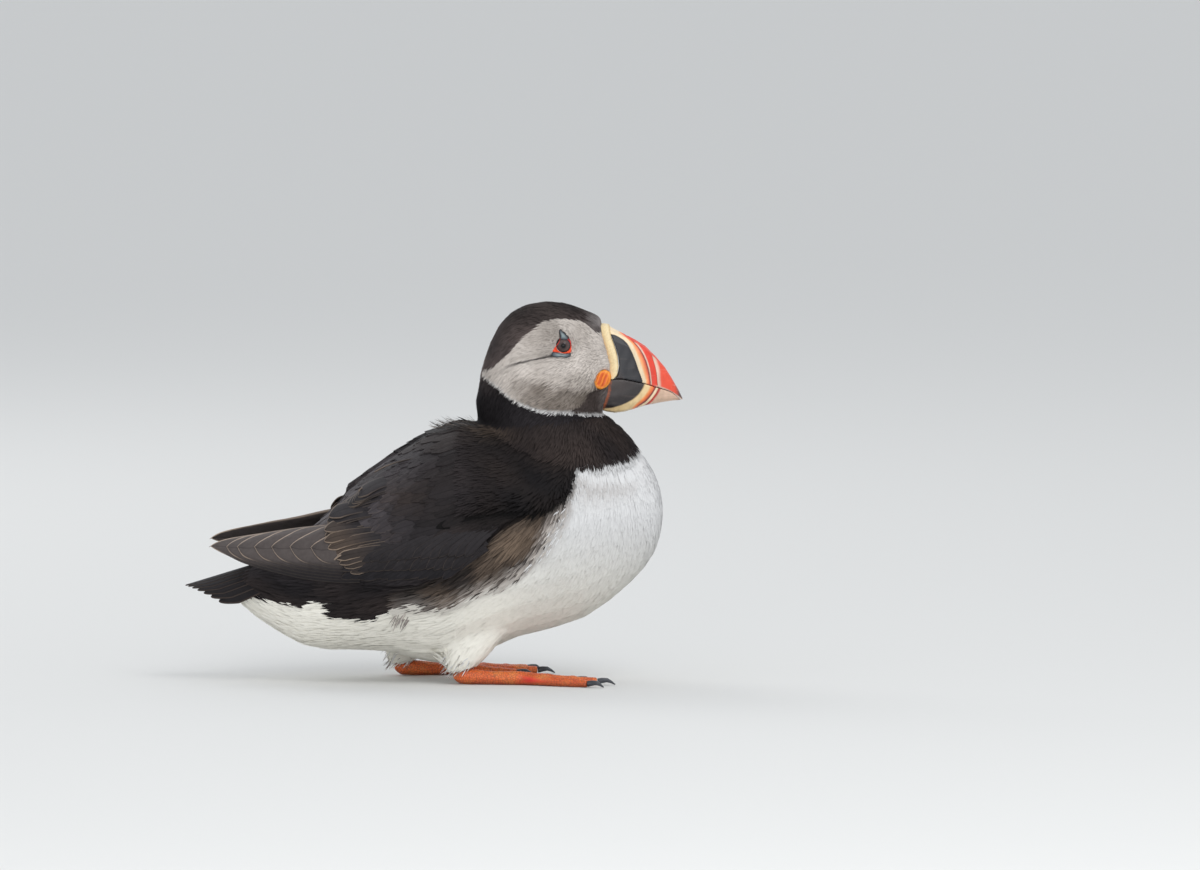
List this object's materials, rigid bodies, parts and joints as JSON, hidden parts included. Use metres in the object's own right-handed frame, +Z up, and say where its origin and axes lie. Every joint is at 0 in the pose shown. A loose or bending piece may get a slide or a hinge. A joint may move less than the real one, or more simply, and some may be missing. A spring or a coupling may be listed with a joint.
{
  "type": "atlantic puffin",
  "caption": "Life-size seabird crouched on its shanks, with a black back, white breast, pale grey face, deep banded bill and webbed orange feet.",
  "frame": {"origin": "on the floor under the middle of the bounding box, between the feet", "axes": "+X towards the bill, +Y to the bird's left, +Z up"},
  "size_m": [0.2168, 0.0928, 0.1655],
  "materials": {
    "white_plumage": "soft matte",
    "black_plumage": "soft, faint sheen",
    "grey_plumage": "soft matte",
    "cream_horn": "pitted satin horn",
    "red_horn": "satin grooved horn",
    "slate_horn": "satin horn",
    "gape_skin": "folded satin skin",
    "lid_skin": "satin skin",
    "lid_plate": "matte horn",
    "eye_gloss": "wet gloss",
    "leg_skin": "scuted satin skin",
    "claw_horn": "satin horn"
  },
  "bodies": {
    "root": {"trunk": "white_plumage", "neck": "black_plumage", "head": "grey_plumage", "bill_cere": "cream_horn", "bill_upper": "red_horn", "bill_lower": "slate_horn", "tail": "black_plumage", "eye_right": "eye_gloss", "eyelid_ring_right": "lid_skin", "brow_plate_right": "lid_plate", "cheek_plate_right": "lid_plate", "gape_rosette_right": "gape_skin", "wing_right": "black_plumage", "primaries_right": "black_plumage", "thigh_right": "white_plumage", "shank_right": "leg_skin", "foot_right": "leg_skin", "claw_inner_right": "claw_horn", "claw_middle_right": "claw_horn", "claw_outer_right": "claw_horn", "eye_left": "eye_gloss", "eyelid_ring_left": "lid_skin", "brow_plate_left": "lid_plate", "cheek_plate_left": "lid_plate", "gape_rosette_left": "gape_skin", "wing_left": "black_plumage", "primaries_left": "black_plumage", "thigh_left": "white_plumage", "shank_left": "leg_skin", "foot_left": "leg_skin", "claw_inner_left": "claw_horn", "claw_middle_left": "claw_horn", "claw_outer_left": "claw_horn"}
  },
  "joints": []
}
